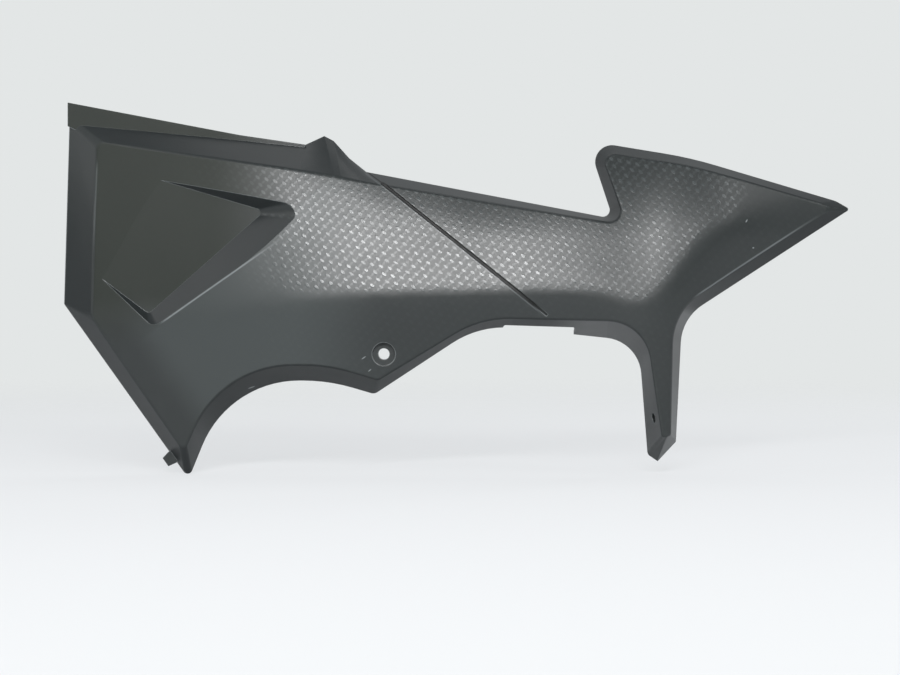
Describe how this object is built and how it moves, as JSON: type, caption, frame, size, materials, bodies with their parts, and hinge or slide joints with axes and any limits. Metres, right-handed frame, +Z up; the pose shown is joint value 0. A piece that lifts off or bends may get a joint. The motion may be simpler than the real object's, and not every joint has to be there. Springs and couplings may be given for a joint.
{
  "type": "side panel",
  "caption": "Moulded motorbike side panel: crowned woven-grain face with a sunk field and a slanted groove, walled edges, a sunk screw seat and locating pegs behind.",
  "frame": {"origin": "centre of the screw seat, where the screw hole meets the seat's face", "axes": "+X along the panel towards its pointed end, +Z up as the panel hangs on the machine, -Y out of the visible face; the flat rim lies in the plane y = +34 mm"},
  "size_m": [0.5786, 0.0468, 0.2737],
  "materials": {
    "black_plastic": "charcoal polypropylene with a fine satin grain and a moulded weave on the upper face"
  },
  "bodies": {
    "root": {"side_panel": "black_plastic"}
  },
  "joints": []
}
